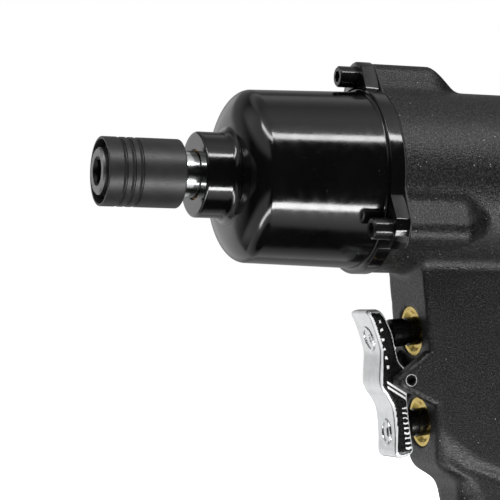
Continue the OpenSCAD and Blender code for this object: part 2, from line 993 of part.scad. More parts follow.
module exhaust_ring() {
    hole_count = 12;
    hole_r = 1;
    color("#3a3b3d")
        handle_frame()
            translate([inlet_at, 0, -grip_len])
                difference() {
                    cylinder(h = ring_thick, r = ring_r);
                    translate([0, 0, -1])
                        cylinder(h = ring_thick + 2, r = bushing_r + slip_gap);
                    for (i = [0:hole_count - 1])
                        rotate([0, 0, 360 / hole_count * i])
                            translate([11.9, 0, -1])
                                cylinder(h = ring_thick + 2, r = hole_r, $fn = 24);
                }
}

hammer_case();
nose_bush();
case_gasket();
case_bolts();
spring_washers();
motor_housing();
anvil();
retaining_balls();
quick_change_sleeve();
sleeve_spring();
sleeve_washer();
sleeve_snap_ring();
hammer_cage();
front_hammer_dog();
rear_hammer_dog();
hammer_pins();
front_end_plate();
front_bearing();
cylinder_liner();
liner_dowel();
rotor();
rotor_vanes();
rear_end_plate();
rear_bearing();
rocker_trigger();
trigger_pin();
forward_valve_bush();
reverse_valve_bush();
forward_valve_plunger();
reverse_valve_plunger();
forward_valve_seal();
reverse_valve_seal();
forward_valve_spring();
reverse_valve_spring();
inlet_bushing();
inlet_seal();
inlet_screen();
exhaust_ring();
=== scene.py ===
import json
import math

import bmesh
import bpy
import numpy as np
from mathutils import Matrix, Vector


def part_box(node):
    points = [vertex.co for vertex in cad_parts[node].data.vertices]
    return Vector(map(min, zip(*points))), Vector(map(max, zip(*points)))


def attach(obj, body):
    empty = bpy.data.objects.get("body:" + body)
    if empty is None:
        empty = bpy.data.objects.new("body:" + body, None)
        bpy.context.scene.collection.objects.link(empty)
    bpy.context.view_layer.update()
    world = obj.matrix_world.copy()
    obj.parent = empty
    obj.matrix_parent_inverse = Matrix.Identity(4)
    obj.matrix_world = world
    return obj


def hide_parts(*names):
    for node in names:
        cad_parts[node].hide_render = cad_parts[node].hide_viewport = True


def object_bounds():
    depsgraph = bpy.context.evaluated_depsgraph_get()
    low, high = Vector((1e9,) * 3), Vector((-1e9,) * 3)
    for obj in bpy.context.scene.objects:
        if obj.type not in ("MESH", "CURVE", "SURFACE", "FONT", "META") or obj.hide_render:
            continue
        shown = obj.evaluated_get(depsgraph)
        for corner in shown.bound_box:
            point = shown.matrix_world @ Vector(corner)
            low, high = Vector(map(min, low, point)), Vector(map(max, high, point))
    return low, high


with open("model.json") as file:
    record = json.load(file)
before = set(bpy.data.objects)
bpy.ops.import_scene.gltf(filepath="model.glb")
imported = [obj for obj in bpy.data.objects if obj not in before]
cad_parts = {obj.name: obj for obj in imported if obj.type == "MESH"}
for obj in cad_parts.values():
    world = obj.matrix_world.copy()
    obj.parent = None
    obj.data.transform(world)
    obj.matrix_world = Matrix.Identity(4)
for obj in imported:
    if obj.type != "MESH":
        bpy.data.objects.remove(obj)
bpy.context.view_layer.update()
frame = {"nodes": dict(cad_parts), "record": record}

record = frame["record"]
MM = 0.001

JOINTS = {j["name"]: j for j in record["behaviour"]["joints"]}
MOUNTS = {m["name"]: m for m in record["mounts"]}


def node_mm(node):
    """Lowest and highest corner of a CAD node, in millimetres."""
    low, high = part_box(node)
    return np.array(low) / MM, np.array(high) / MM


# The handle's frame: x from its front face rearwards, z up along the grip,
# and z = 0 level with the trigger's pivot.
PIVOT_OUT = 6.8
PIVOT = np.array(JOINTS["trigger_rock"]["pos_m"]) / MM
GRIP_UP = -np.array(MOUNTS["air_inlet"]["axis"], dtype=float)
GRIP_BACK = np.array([GRIP_UP[2], 0.0, -GRIP_UP[0]])
HANDLE_AT = PIVOT + PIVOT_OUT * GRIP_BACK

# The three case bolts: one on top, two below.
BOLT_TURNS = (0.0, 120.0, 240.0)
BOLT_CIRCLE = 29.15

CASE_LOW, CASE_HIGH = node_mm("hammer_case")
HOUSING_LOW, HOUSING_HIGH = node_mm("motor_housing")
LINER_HIGH = node_mm("cylinder_liner")[1]
REAR_PLATE_HIGH = node_mm("rear_end_plate")[1]


def in_handle(p):
    """Handle-frame x and z of points p, with their y unchanged."""
    q = p - HANDLE_AT
    return q @ GRIP_BACK, p[:, 1], q @ GRIP_UP


# ---------------------------------------------------------------- distance fields

def smooth_min(a, b, k):
    """Union of two fields, blended over k."""
    h = np.clip(0.5 + 0.5 * (b - a) / k, 0, 1)
    return b * (1 - h) + a * h - k * h * (1 - h)


def smooth_max(a, b, k):
    """Overlap of two fields, blended over k."""
    return -smooth_min(-a, -b, k)


def smooth_step(t):
    """Rises from 0 to 1 with level ends, for t from 0 to 1."""
    return 3 * t * t - 2 * t ** 3


def rounded_box(x, y, cx, cy, half_x, half_y, r):
    """Distance to a rectangle with corners of radius r."""
    dx = np.abs(x - cx) - half_x + r
    dy = np.abs(y - cy) - half_y + r
    outside = np.hypot(np.maximum(dx, 0), np.maximum(dy, 0))
    return outside + np.minimum(np.maximum(dx, dy), 0) - r


def polygon_field(x, y, points):
    """Signed distance to a closed polygon."""
    pts = np.array(points, dtype=float)
    best = np.full(x.shape, np.inf)
    sign = np.ones(x.shape)
    for i in range(len(pts)):
        a, b = pts[i], pts[i - 1]
        ex, ey = b - a
        wx, wy = x - a[0], y - a[1]
        t = np.clip((wx * ex + wy * ey) / (ex * ex + ey * ey), 0, 1)
        best = np.minimum(best, (wx - ex * t) ** 2 + (wy - ey * t) ** 2)
        above = y >= a[1]
        below = y < b[1]
        left = ex * wy > ey * wx
        flip = (above & below & left) | (~above & ~below & ~left)
        sign = np.where(flip, -sign, sign)
    return sign * np.sqrt(best)


def cylinder_field(radial, along, start, end, r):
    """Distance to a plain cylinder, from the distances off and along its axis."""
    return np.maximum(radial - r, np.maximum(start - along, along - end))


PROBE = 0.02       # reach of the finite differences that give a normal
CENTRE_PULL = 0.05  # how strongly a point is drawn to its cell's middle


def skin(field, low, high, step):
    """Quads on field's zero surface by dual contouring, which keeps sharp edges."""
    low = np.array(low, dtype=float)
    count = np.ceil((np.array(high) - low) / step).astype(int) + 1
    axes = [low[i] + step * np.arange(count[i]) for i in range(3)]
    value = np.empty(count)
    for i in range(count[0]):
        yy, zz = np.meshgrid(axes[1], axes[2], indexing="ij")
        layer = np.stack([np.full(yy.shape, axes[0][i]), yy, zz], -1)
        value[i] = field(layer.reshape(-1, 3)).reshape(yy.shape)
    inside = value < 0
    stride = np.array([count[1] * count[2], count[2], 1])
    cells, points, normals, quads, flips = [], [], [], [], []
    for axis in range(3):
        a = [slice(None)] * 3
        b = [slice(None)] * 3
        a[axis], b[axis] = slice(0, -1), slice(1, None)
        at = np.argwhere(inside[tuple(a)] != inside[tuple(b)])
        others = [k for k in range(3) if k != axis]
        at = at[(at[:, others[0]] > 0) & (at[:, others[1]] > 0)]
        nxt = at.copy()
        nxt[:, axis] += 1
        v0 = value[tuple(at.T)]
        v1 = value[tuple(nxt.T)]
        p = low + step * at.astype(float)
        p[:, axis] += step * v0 / (v0 - v1)
        base = field(p)
        n = np.stack([field(p + PROBE * np.eye(3)[k]) - base for k in range(3)], -1)
        n /= np.linalg.norm(n, axis=1, keepdims=True) + 1e-12
        corner = at @ stride
        ring = [0, stride[others[0]], stride[others[0]] + stride[others[1]], stride[others[1]]]
        quad = np.stack([corner - r for r in ring], -1)
        turn = (v0 < 0) if axis != 1 else (v0 > 0)
        cells.append(quad.ravel())
        points.append(np.repeat(p, 4, axis=0))
        normals.append(np.repeat(n, 4, axis=0))
        quads.append(quad)
        flips.append(turn)
    cell = np.concatenate(cells)
    p = np.concatenate(points)
    n = np.concatenate(normals)
    ids, where = np.unique(cell, return_inverse=True)
    size = len(ids)

    def total(values):
        return np.bincount(where, weights=values, minlength=size)

    many = total(np.ones(len(where)))
    mean = np.stack([total(p[:, k]) for k in range(3)], -1) / many[:, None]
    lean = np.einsum("ij,ij->i", n, p - mean[where])
    a = np.empty((size, 3, 3))
    for i in range(3):
        for j in range(3):
            a[:, i, j] = total(n[:, i] * n[:, j])
    a += CENTRE_PULL * many[:, None, None] * np.eye(3)
    rhs = np.stack([total(n[:, k] * lean) for k in range(3)], -1)
    spot = mean + np.linalg.solve(a, rhs[:, :, None])[:, :, 0]
    grid = np.stack([ids // stride[0], ids % stride[0] // stride[1], ids % stride[1]], -1)
    base = low + step * grid
    spot = np.clip(spot, base, base + step)
    quad = np.searchsorted(ids, np.concatenate(quads))
    flip = np.concatenate(flips)
    quad[flip] = quad[flip][:, ::-1]
    return spot, quad


# ---------------------------------------------------------------- mesh helpers

def add_object(name, mesh):
    obj = bpy.data.objects.new(name, mesh)
    bpy.context.scene.collection.objects.link(obj)
    return obj


def mesh_from(name, verts, faces, sharp_deg=None):
    """Object in metres from millimetre points, shaded smooth up to sharp_deg."""
    mesh = bpy.data.meshes.new(name)
    mesh.from_pydata((np.asarray(verts) * MM).tolist(), [], np.asarray(faces).tolist())
    mesh.update()
    bm = bmesh.new()
    bm.from_mesh(mesh)
    bmesh.ops.recalc_face_normals(bm, faces=bm.faces)
    bm.to_mesh(mesh)
    bm.free()
    mesh.shade_smooth()
    if sharp_deg:
        mesh.set_sharp_from_angle(angle=math.radians(sharp_deg))
    return add_object(name, mesh)


def rounded(corners, per_turn=48):
    """Closed outline through (a, b, radius) corners, with an arc at each."""
    out = []
    pts = [np.array(c[:2], dtype=float) for c in corners]
    for i, (_, _, r) in enumerate(corners):
        here, before, after = pts[i], pts[i - 1], pts[(i + 1) % len(pts)]
        u = (before - here) / np.linalg.norm(before - here)
        v = (after - here) / np.linalg.norm(after - here)
        angle = math.acos(max(-1, min(1, float(u @ v))))
        if r <= 0 or angle > math.pi - 0.02:
            out.append(here)
            continue
        reach = r / math.tan(angle / 2)
        middle = (u + v) / np.linalg.norm(u + v)
        centre = here + middle * r / math.sin(angle / 2)
        a, b = here + u * reach - centre, here + v * reach - centre
        sweep = math.pi - angle
        steps = max(2, int(per_turn * sweep / (2 * math.pi)) + 1)
        for k in range(steps + 1):
            t = k / steps
            w = (math.sin((1 - t) * sweep) * a + math.sin(t * sweep) * b) / math.sin(sweep)
            out.append(centre + w)
    return out


def lathe_mesh(outline, segments=160):
    """Points and quads of a closed (x, radius) outline turned about the X axis."""
    ring = np.array(outline)
    count = len(ring)
    verts, faces = [], []
    for s in range(segments):
        a = 2 * math.pi * s / segments
        for x, r in ring:
            verts.append((x, r * math.cos(a), r * math.sin(a)))
    for s in range(segments):
        t = (s + 1) % segments
        for k in range(count):
            j = (k + 1) % count
            faces.append((s * count + k, s * count + j, t * count + j, t * count + k))
    return verts, faces


# ---------------------------------------------------------------- materials

class NodeTree:
    """Helpers that add nodes to a material's or a world's tree."""

    def __init__(self, tree):
        self.tree = tree

    def node(self, kind, **values):
        made = self.tree.nodes.new(kind)
        for key, value in values.items():
            setattr(made, key, value)
        return made

    def link(self, a, b):
        self.tree.links.new(a, b)

    def fill(self, socket, value):
        """value is a socket to link or a plain number."""
        if hasattr(value, "is_linked"):
            self.link(value, socket)
        else:
            socket.default_value = float(value)

    def math(self, operation, *values):
        made = self.node("ShaderNodeMath", operation=operation)
        for socket, value in zip(made.inputs, values):
            self.fill(socket, value)
        return made.outputs[0]

    def product(self, first, *more):
        for value in more:
            first = self.math("MULTIPLY", first, value)
        return first

    def parts(self, vector):
        """The x, y and z of a vector socket."""
        made = self.node("ShaderNodeSeparateXYZ")
        self.link(vector, made.inputs[0])
        return made.outputs

    def radius(self, a, b):
        """Length of the pair (a, b)."""
        return self.math("SQRT", self.math("ADD", self.product(a, a), self.product(b, b)))

    def remap(self, value, low, high, to_low=0.0, to_high=1.0):
        """Takes low..high to to_low..to_high, held at both ends."""
        made = self.node("ShaderNodeMapRange")
        for name, bound in (("From Min", low), ("From Max", high), ("To Min", to_low),
                            ("To Max", to_high)):
            made.inputs[name].default_value = bound
        self.link(value, made.inputs["Value"])
        return made.outputs["Result"]

    def ramp(self, fac, stops):
        made = self.node("ShaderNodeValToRGB")
        band = made.color_ramp
        while len(band.elements) < len(stops):
            band.elements.new(0.5)
        for element, (at, colour) in zip(band.elements, stops):
            element.position = at
            element.color = (*colour, 1.0)
        self.link(fac, made.inputs["Fac"])
        return made.outputs["Color"]


# Noise keeps mostly within this range, which ramps and roughness spread out.
NOISE_LOW = 0.3
NOISE_HIGH = 0.7


class Shader(NodeTree):
    """A Principled material with a few helpers for its nodes."""

    def __init__(self, name):
        self.material = bpy.data.materials.new(name)
        self.material.use_nodes = True
        super().__init__(self.material.node_tree)
        self.bsdf = self.tree.nodes["Principled BSDF"]
        self.coord = self.node("ShaderNodeTexCoord").outputs["Object"]

    def noise(self, scale, detail=4.0, rough=0.55, stretch=None):
        made = self.node("ShaderNodeTexNoise")
        made.inputs["Scale"].default_value = scale
        made.inputs["Detail"].default_value = detail
        made.inputs["Roughness"].default_value = rough
        source = self.coord
        if stretch:
            mapping = self.node("ShaderNodeMapping")
            mapping.inputs["Scale"].default_value = stretch
            self.link(self.coord, mapping.inputs["Vector"])
            source = mapping.outputs["Vector"]
        self.link(source, made.inputs["Vector"])
        return made.outputs["Fac"]

    def blend(self, fac, dark, light):
        """Colour that runs from dark to light over the noise or the mask fac."""
        return self.ramp(fac, [(NOISE_LOW, dark), (NOISE_HIGH, light)])

    def paint(self, colour):
        self.link(colour, self.bsdf.inputs["Base Color"])

    def roughen(self, fac, low, high):
        """Roughness that runs from low to high over the noise fac."""
        rough = self.remap(fac, NOISE_LOW, NOISE_HIGH, low, high)
        self.link(rough, self.bsdf.inputs["Roughness"])

    def from_point(self, point):
        """Position as seen from a point given in millimetres."""
        made = self.node("ShaderNodeVectorMath", operation="SUBTRACT")
        self.link(self.coord, made.inputs[0])
        made.inputs[1].default_value = tuple(point * MM)
        return made.outputs[0]

    def dot(self, vector, axis):
        made = self.node("ShaderNodeVectorMath", operation="DOT_PRODUCT")
        self.link(vector, made.inputs[0])
        made.inputs[1].default_value = tuple(float(v) for v in axis)
        return made.outputs["Value"]

    def add(self, a, b):
        made = self.node("ShaderNodeMix", data_type="RGBA", blend_type="ADD")
        made.inputs["Factor"].default_value = 1.0
        self.link(a, made.inputs["A"])
        self.link(b, made.inputs["B"])
        return made.outputs["Result"]

    def mix(self, fac, a, b):
        made = self.node("ShaderNodeMix", data_type="RGBA")
        self.link(fac, made.inputs["Factor"])
        self.link(a, made.inputs["A"])
        self.link(b, made.inputs["B"])
        return made.outputs["Result"]

    def bump(self, heights):
        """heights: (fac, strength, distance in metres), laid over one another."""
        normal = None
        for fac, strength, distance in heights:
            made = self.node("ShaderNodeBump")
            made.inputs["Strength"].default_value = strength
            made.inputs["Distance"].default_value = distance
            self.link(fac, made.inputs["Height"])
            if normal:
                self.link(normal, made.inputs["Normal"])
            normal = made.outputs["Normal"]
        self.link(normal, self.bsdf.inputs["Normal"])


WARM = (1.0, 0.99, 0.97)
COOL = (0.97, 0.99, 1.0)
# Noise scales that draw marks out along X, as on turned or ground work.
LATHE_TURNED = (0.1, 1.0, 1.0)


def grey(v, tint=(1.0, 1.0, 1.0)):
    return tuple(v * t for t in tint)


def finish(name, dark, light, metallic, rough, grain, bump, mottle=120.0, stretch=None):
    """Surface whose colour, roughness and relief all vary with noise.

    rough is its (least, most) roughness, grain the noise scale of its relief.
    """
    s = Shader(name)
    fine = s.noise(grain, 5.0, 0.6, stretch)
    wide = s.noise(mottle, 3.0, 0.5)
    s.bsdf.inputs["Metallic"].default_value = metallic
    s.paint(s.blend(wide, dark, light))
    s.roughen(fine, *rough)
    s.bump([(fine, bump, 0.2 * MM)])
    return s.material


def gloss_paint():
    """Black gloss paint over a machined casting, with slight orange peel."""
    s = Shader("gloss_black_paint")
    peel = s.noise(420.0, 2.0, 0.4)
    wide = s.noise(60.0, 3.0, 0.5)
    dust = s.noise(2600.0, 2.0, 0.5)
    base = s.blend(wide, grey(0.0015), grey(0.003))
    flecks = s.ramp(dust, [(0.74, grey(0.0)), (0.8, grey(0.08))])
    s.paint(s.add(base, flecks))
    s.roughen(peel, 0.09, 0.15)
    s.bump([(peel, 0.04, 0.2 * MM), (dust, 0.05, 0.1 * MM)])
    return s.material


def crackle_paint():
    """Fine wrinkled black paint: painted shade blackens the low points of its wrinkles and
    painted glints sit on its peaks.
    """
    s = Shader("crackle_black_paint")
    grain = s.noise(2300.0, 2.0, 0.6)
    pits = s.noise(1250.0, 2.0, 0.6)
    glint_noise = s.noise(1500.0, 1.0, 0.5)
    # Colour follows the grain noise that also drives the bump, so the low points get painted
    # shade and the high points are lighter.
    base = s.ramp(grain, [(0.42, grey(0.0002)), (0.5, grey(0.006)), (0.62, grey(0.028))])
    # Painted glints: light grey specks that stand in for light caught on the wrinkles' peaks.
    painted_glints = s.ramp(glint_noise, [(0.74, grey(0.0)), (0.84, grey(0.4))])
    s.paint(s.add(base, painted_glints))
    s.roughen(grain, 0.45, 0.28)
    s.bsdf.inputs["Specular IOR Level"].default_value = 0.33
    s.bump([(pits, 0.2, 0.3 * MM), (grain, 0.5, 0.3 * MM)])
    return s.material


# Rows of saw marks on the trigger's flank, in the handle's frame: x of the row's middle
# line at z = 0, the line's lean, the row's lower and upper end, half width and pitch.
SAW_ROWS = ((-6.6, 0.0, -20.5, -7.5, 1.9, 1.4), (-10.8, -0.09, 3.0, 17.5, 0.9, 2.6))
SAW_WANDER = 1.6   # how far noise shifts a mark along its row
SAW_RAGGED = 1.2   # how far noise eats into a mark's ends
SAW_DARK = 0.66    # share of the pitch that stays dark

# Two painted highlights on the web under the pin, where its polished bands catch the light.
WEB_AT = (-11.6, -1.0)
WEB_NORMAL = (0.588, 0.809)
WEB_APART = 0.55   # from the middle to either stroke
WEB_HALF = 0.3
WEB_ENDS = (-11.8, -5.5)


def saw_row(s, along, up, wander, row):
    """Mask of one row of saw marks."""
    middle, lean, low, high, half, pitch = row
    off = s.math("SUBTRACT", along, s.product(up, lean))
    near = s.math("ABSOLUTE", s.math("SUBTRACT", off, middle * MM))
    near = s.math("ADD", near, s.product(wander, SAW_RAGGED * MM))
    shaky = s.math("ADD", up, s.product(wander, SAW_WANDER * MM))
    wave = s.math("FRACT", s.product(shaky, 1 / (pitch * MM)))
    return s.product(s.math("LESS_THAN", near, half * MM),
                     s.math("GREATER_THAN", up, low * MM),
                     s.math("LESS_THAN", up, high * MM),
                     s.math("GREATER_THAN", wave, SAW_DARK))


def web_painted_highlights(s, along, up):
    """Mask of the two painted highlights along the web."""
    across = s.math("ADD",
                    s.product(s.math("SUBTRACT", along, WEB_AT[0] * MM), WEB_NORMAL[0]),
                    s.product(s.math("SUBTRACT", up, WEB_AT[1] * MM), WEB_NORMAL[1]))
    twin = s.math("ABSOLUTE", s.math("SUBTRACT", s.math("ABSOLUTE", across), WEB_APART * MM))
    return s.product(s.math("LESS_THAN", twin, WEB_HALF * MM),
                     s.math("GREATER_THAN", along, WEB_ENDS[0] * MM),
                     s.math("LESS_THAN", along, WEB_ENDS[1] * MM))


def rough_edge():
    """Dark flank of the trigger, with rows of bright saw marks across its arms and two painted
    highlights on the web under the pin.
    """
    s = Shader("trigger_flank")
    grain = s.noise(1300.0, 4.0, 0.7)
    wander = s.noise(600.0, 2.0, 0.6)
    offset = s.from_point(HANDLE_AT)
    along, up = s.dot(offset, GRIP_BACK), s.dot(offset, GRIP_UP)
    saw_marks_and_highlights = web_painted_highlights(s, along, up)
    for row in SAW_ROWS:
        saw_marks_and_highlights = s.math("MAXIMUM", saw_marks_and_highlights, saw_row(s, along, up, wander, row))
    # The saw marks and the web's painted highlights are painted light grey on the dark flank.
    s.paint(s.blend(saw_marks_and_highlights, grey(0.004), grey(0.75)))
    s.roughen(grain, 0.2, 0.36)
    s.bump([(saw_marks_and_highlights, 0.6, 0.4 * MM), (grain, 0.4, 0.2 * MM)])
    return s.material


def pin_steel():
    """Black pin with a bright worn ring round its hexagon recess."""
    ring_from, ragged = 1.8, 0.6
    s = Shader("pin_steel")
    fine = s.noise(1800.0, 4.0, 0.6)
    parts = s.parts(s.from_point(PIVOT))
    radius = s.math("ADD", s.radius(parts[0], parts[2]), s.product(fine, ragged * MM))
    ring = s.math("GREATER_THAN", radius, ring_from * MM)
    s.paint(s.blend(ring, grey(0.003), grey(0.4)))
    s.roughen(fine, 0.25, 0.4)
    s.bump([(fine, 0.1, 0.2 * MM)])
    return s.material


def anvil_steel():
    """Dark hardened steel, painted black inside the socket as shade, and ground bright on the
    shaft.
    """
    shaft_from, socket_r = 18.0, 4.1
    s = Shader("anvil_steel")
    fine = s.noise(900.0, 4.0, 0.6, LATHE_TURNED)
    wide = s.noise(150.0, 3.0, 0.5)
    parts = s.parts(s.coord)
    shaft = s.math("GREATER_THAN", parts[0], shaft_from * MM)
    inside = s.math("LESS_THAN", s.radius(parts[1], parts[2]), socket_r * MM)
    rim = s.blend(wide, grey(0.17), grey(0.23))
    # Painted shade: inside the socket the steel is painted near black, where the recess lies in
    # shadow.
    socket = s.blend(wide, grey(0.012), grey(0.03))
    bright = s.blend(wide, grey(0.66, COOL), grey(0.76, COOL))
    s.bsdf.inputs["Metallic"].default_value = 1.0
    s.paint(s.mix(shaft, s.mix(inside, rim, socket), bright))
    dark_rough = s.remap(fine, NOISE_LOW, NOISE_HIGH, 0.3, 0.42)
    s.link(s.math("SUBTRACT", dark_rough, s.product(shaft, 0.2)), s.bsdf.inputs["Roughness"])
    s.bump([(fine, 0.06, 0.2 * MM)])
    return s.material


LOOKS = {
    "gloss": gloss_paint(),
    "crackle": crackle_paint(),
    "flank": rough_edge(),
    "anvil": anvil_steel(),
    "pin": pin_steel(),
    "phosphate": finish("phosphate_black", grey(0.016), grey(0.026), 0.35, (0.34, 0.48),
                        2200.0, 0.12, 200.0),
    "bolt": finish("black_oxide_bolt", grey(0.006), grey(0.012), 0.3, (0.12, 0.2),
                   1800.0, 0.1, 260.0),
    "polished": finish("polished_steel", grey(0.58, COOL), grey(0.7, COOL), 1.0, (0.1, 0.2),
                       900.0, 0.05, 150.0, LATHE_TURNED),
    "chrome": finish("trigger_chrome", grey(0.7, COOL), grey(0.76, COOL), 1.0, (0.2, 0.28),
                     500.0, 0.04, 220.0),
    # A real polished bevel, painted near white and mostly non-metallic as a highlight along the
    # trigger's side edges.
    "bevel": finish("polished_bevel_painted_highlight", grey(0.8, COOL), grey(0.92, COOL), 0.25, (0.12, 0.22),
                    700.0, 0.04, 240.0),
    "steel": finish("machined_steel", grey(0.36, COOL), grey(0.46, COOL), 1.0, (0.28, 0.42),
                    1200.0, 0.12, 180.0, (1.0, 0.15, 1.0)),
    "dark_steel": finish("hardened_steel", grey(0.2, WARM), grey(0.3, WARM), 1.0, (0.3, 0.45),
                         1400.0, 0.15, 200.0),
    "brass": finish("turned_brass", (0.5, 0.36, 0.08), (0.68, 0.52, 0.15), 1.0, (0.16, 0.3),
                    1500.0, 0.12, 260.0, (0.2, 1.0, 1.0)),
    "bronze": finish("sintered_bronze", (0.36, 0.22, 0.09), (0.46, 0.3, 0.13), 0.9,
                     (0.35, 0.55), 1800.0, 0.3, 300.0),
    "rubber": finish("seal_rubber", grey(0.012), grey(0.02), 0.0, (0.55, 0.72),
                     1600.0, 0.2, 240.0),
    "plastic": finish("valve_black", grey(0.002), grey(0.004), 0.0, (0.2, 0.34),
                      1300.0, 0.1, 240.0),
    "fibre": finish("vane_fibre", (0.12, 0.055, 0.02), (0.22, 0.11, 0.045), 0.0,
                    (0.5, 0.7), 900.0, 0.25, 300.0, (0.2, 1.0, 1.0)),
}

NODE_LOOK = {
    "hammer_case": "gloss", "motor_housing": "crackle", "quick_change_sleeve": "phosphate",
    "rocker_trigger": "chrome", "nose_bush": "bronze", "case_gasket": "rubber",
    "case_bolts": "bolt", "spring_washers": "bolt", "anvil": "anvil",
    "retaining_balls": "polished", "sleeve_spring": "steel", "sleeve_washer": "dark_steel",
    "sleeve_snap_ring": "dark_steel", "hammer_cage": "dark_steel",
    "front_hammer_dog": "dark_steel", "rear_hammer_dog": "dark_steel",
    "hammer_pins": "polished", "front_end_plate": "steel", "front_bearing": "polished",
    "cylinder_liner": "steel", "liner_dowel": "polished", "rotor": "steel",
    "rotor_vanes": "fibre", "rear_end_plate": "steel", "rear_bearing": "polished",
    "trigger_pin": "pin", "forward_valve_bush": "brass", "reverse_valve_bush": "brass",
    "forward_valve_plunger": "plastic", "reverse_valve_plunger": "plastic",
    "forward_valve_seal": "rubber", "reverse_valve_seal": "rubber",
    "forward_valve_spring": "steel", "reverse_valve_spring": "steel",
    "inlet_bushing": "steel", "inlet_seal": "rubber", "inlet_screen": "steel",
    "exhaust_ring": "bolt",
}


def dress(obj, *looks):
    obj.data.materials.clear()
    for look in looks:
        obj.data.materials.append(LOOKS[look])


def stand_in(obj, node, *looks):
    """obj takes the place, the body and the material slot of a CAD node."""
    bodies = record["behaviour"]["bodies"]
    dress(obj, *(looks or (NODE_LOOK[node],)))
    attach(obj, next(b for b, nodes in bodies.items() if node in nodes))
    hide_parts(node)


# ---------------------------------------------------------------- hammer case

NOSE_R = 11.9
NOSE_X = CASE_LOW[0]
NOSE_MOUTH_R = 7.0
NOSE_LIP = 0.55
BUSH_SEAT_R = 8.13
DOME_X = NOSE_X + 9.3
SHOULDER_LEN = 6.4
SHOULDER_IN = 11.9
SHOULDER_STEPS = 32
CASE_FRONT_R = 24.1
CASE_REAR_R = 24.95
CASE_BORE_R = 21.3
CASE_BORE_X = 41.2
CASE_STEP_R = 17.3
CASE_STEP_X = 38.6
FLANGE_END = CASE_HIGH[0]
FLANGE_X = FLANGE_END - 4.3
FLANGE_R = 26.5

# Half outline of a bolt lug: (across, out from the axis).
LUG_HALF = ((0, 33.6), (1.9, 33.4), (4.6, 32.4), (7.8, 26.4), (8.6, 24.8), (8, 21))
LUG_ROUND = 0.8
LUG_EASE = 0.4
LUG_HOLE_R = 2.15
LUG_POINTS = 96


def lug_reach():
    """Distance from the bolt's centre to the lug's outline, by angle."""
    shape = [(across, out, LUG_ROUND) for across, out in LUG_HALF]
    shape += [(-across, out, LUG_ROUND) for across, out in LUG_HALF[:0:-1]]
    shift = np.array(rounded(shape)) - [0, BOLT_CIRCLE]
    reach = []
    for i in range(LUG_POINTS):
        a = 2 * math.pi * i / LUG_POINTS
        ray = np.array([math.cos(a), math.sin(a)])
        side = np.array([-ray[1], ray[0]])
        s, f = shift @ side, shift @ ray
        s2, f2 = np.roll(s, -1), np.roll(f, -1)
        cross = (s * s2 <= 0) & (s != s2)
        hits = f[cross] + (f2 - f)[cross] * s[cross] / (s - s2)[cross]
        reach.append(hits[hits > 0].max())
    return np.array(reach)


def lug_mesh(turn_deg):
    """One bolt lug of the case's flange, with its hole and eased edges."""
    reach = lug_reach()
    hole = np.full(LUG_POINTS, LUG_HOLE_R)
    ease, corner = LUG_EASE, LUG_EASE * 0.3
    rings = [(hole, FLANGE_X + 0.2), (hole + 0.2, FLANGE_X), (reach - ease, FLANGE_X),
             (reach - corner, FLANGE_X + corner), (reach, FLANGE_X + ease),
             (reach, FLANGE_END - ease), (reach - corner, FLANGE_END - corner),
             (reach - ease, FLANGE_END), (hole, FLANGE_END)]
    turn = math.radians(turn_deg)
    verts, faces = [], []
    for radii, x in rings:
        for i, r in enumerate(radii):
            a = 2 * math.pi * i / LUG_POINTS
            t, w = r * math.cos(a), BOLT_CIRCLE + r * math.sin(a)
            y = t * math.cos(turn) - w * math.sin(turn)
            z = t * math.sin(turn) + w * math.cos(turn)
            verts.append((x, y, z))
    for k in range(len(rings)):
        here, after = k * LUG_POINTS, (k + 1) % len(rings) * LUG_POINTS
        for i in range(LUG_POINTS):
            n = (i + 1) % LUG_POINTS
            faces.append((here + i, here + n, after + n, after + i))
    return verts, faces


def build_case():
    shoulder = []
    for k in range(SHOULDER_STEPS + 1):
        a = math.pi / 2 * k / SHOULDER_STEPS
        shoulder.append((DOME_X + SHOULDER_LEN * (1 - math.cos(a)),
                         CASE_FRONT_R - SHOULDER_IN * (1 - math.sin(a)), 0))
    nose = [(NOSE_X, NOSE_MOUTH_R, 0.3), (NOSE_X, NOSE_R, 0.8), (DOME_X, NOSE_R, 2.2)]
    flange = [(FLANGE_X, CASE_REAR_R, 0.7), (FLANGE_X, FLANGE_R, 0.35),
              (FLANGE_END, FLANGE_R, 0.4), (FLANGE_END, CASE_BORE_R, 0.3)]
    bore = [(CASE_BORE_X, CASE_BORE_R, 0.5), (CASE_BORE_X, CASE_STEP_R, 0.5),
            (CASE_STEP_X, CASE_STEP_R, 0.5), (CASE_STEP_X, BUSH_SEAT_R, 0.2),
            (NOSE_X + NOSE_LIP, BUSH_SEAT_R, 0.1), (NOSE_X + NOSE_LIP, NOSE_MOUTH_R, 0.1)]
    outline = rounded(nose + shoulder + flange + bore, per_turn=96)
    verts, faces = lathe_mesh(outline, 192)
    for turn in BOLT_TURNS:
        more, quads = lug_mesh(turn)
        faces += [tuple(i + len(verts) for i in q) for q in quads]
        verts += more
    case = mesh_from("hammer_case_shell", verts, faces, 40)
    stand_in(case, "hammer_case")


# ---------------------------------------------------------------- quick-change sleeve

# Outside grooves, as distances from the sleeve's front and from one to the next.
GROOVE_COUNT = 3
GROOVE_X = 4.1
GROOVE_PITCH = 2.35
GROOVE_DEEP = 0.4

# Inside: a bore in front, the ball land, then a relief at the rear.
SLEEVE_BORE_R = 8.7
SLEEVE_LAND_R = 6.56
SLEEVE_LAND = (9.5, 14.0)
SLEEVE_RELIEF_R = 7.7
SLEEVE_RELIEF_X = 14.8


